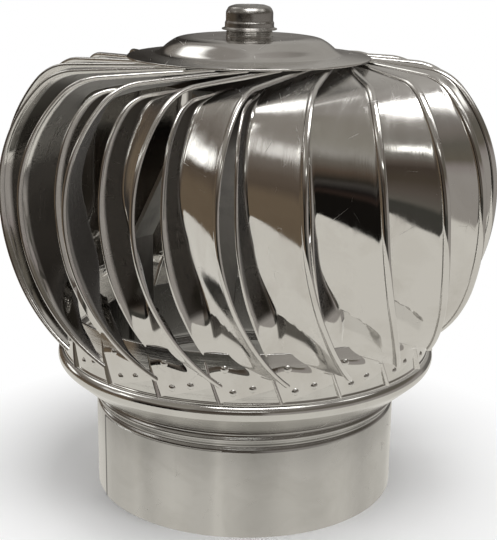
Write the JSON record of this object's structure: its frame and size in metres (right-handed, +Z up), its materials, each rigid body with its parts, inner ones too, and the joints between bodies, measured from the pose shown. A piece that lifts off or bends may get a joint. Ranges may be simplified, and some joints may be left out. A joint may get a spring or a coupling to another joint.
{
  "type": "rotating chimney cap",
  "caption": "Wind-driven louvred turbine that turns on a sealed hub over a round spigot, to draw flue gas and keep out rain.",
  "frame": {"origin": "centre of the spigot's bottom edge", "axes": "+Z up along the turbine's axis; the picture is taken from -Y, a little above"},
  "size_m": [0.3198, 0.3199, 0.3162],
  "materials": {
    "polished_stainless": "mirror-polished stainless sheet with fine rubbing marks",
    "satin_stainless": "satin stainless sheet",
    "turned_steel": "machined bearing steel",
    "zinc_plated_bar": "zinc-plated flat bar"
  },
  "bodies": {
    "base": {"spigot": "satin_stainless", "leg_rivets": "turned_steel", "hub_plate": "zinc_plated_bar", "hub_rivets": "turned_steel", "axle": "turned_steel", "axle_lower_nut": "turned_steel", "axle_top_washer": "turned_steel", "axle_top_nut": "turned_steel", "lower_bearing_inner_ring": "turned_steel", "upper_bearing_inner_ring": "turned_steel", "inner_spacer": "turned_steel", "leg_1": "zinc_plated_bar", "leg_2": "zinc_plated_bar", "leg_3": "zinc_plated_bar"},
    "rotor": {"lower_bearing_outer_ring": "turned_steel", "upper_bearing_outer_ring": "turned_steel", "outer_spacer": "turned_steel", "bearing_circlip": "turned_steel", "bearing_housing": "turned_steel", "bearing_cap": "satin_stainless", "top_plate": "satin_stainless", "vane_band": "satin_stainless", "base_cone": "satin_stainless", "skirt": "satin_stainless", "clinch_points": "polished_stainless", "vane_01": "polished_stainless", "vane_02": "polished_stainless", "vane_03": "polished_stainless", "vane_04": "polished_stainless", "vane_05": "polished_stainless", "vane_06": "polished_stainless", "vane_07": "polished_stainless", "vane_08": "polished_stainless", "vane_09": "polished_stainless", "vane_10": "polished_stainless", "vane_11": "polished_stainless", "vane_12": "polished_stainless", "vane_13": "polished_stainless", "vane_14": "polished_stainless", "vane_15": "polished_stainless", "vane_16": "polished_stainless", "vane_17": "polished_stainless", "vane_18": "polished_stainless", "vane_19": "polished_stainless", "vane_20": "polished_stainless", "vane_21": "polished_stainless"}
  },
  "joints": [
    {"name": "rotor_spin", "type": "hinge", "parent": "base", "child": "rotor", "pos_m": [0, 0, 0.283], "axis": [0, 0, 1], "continuous": true}
  ]
}
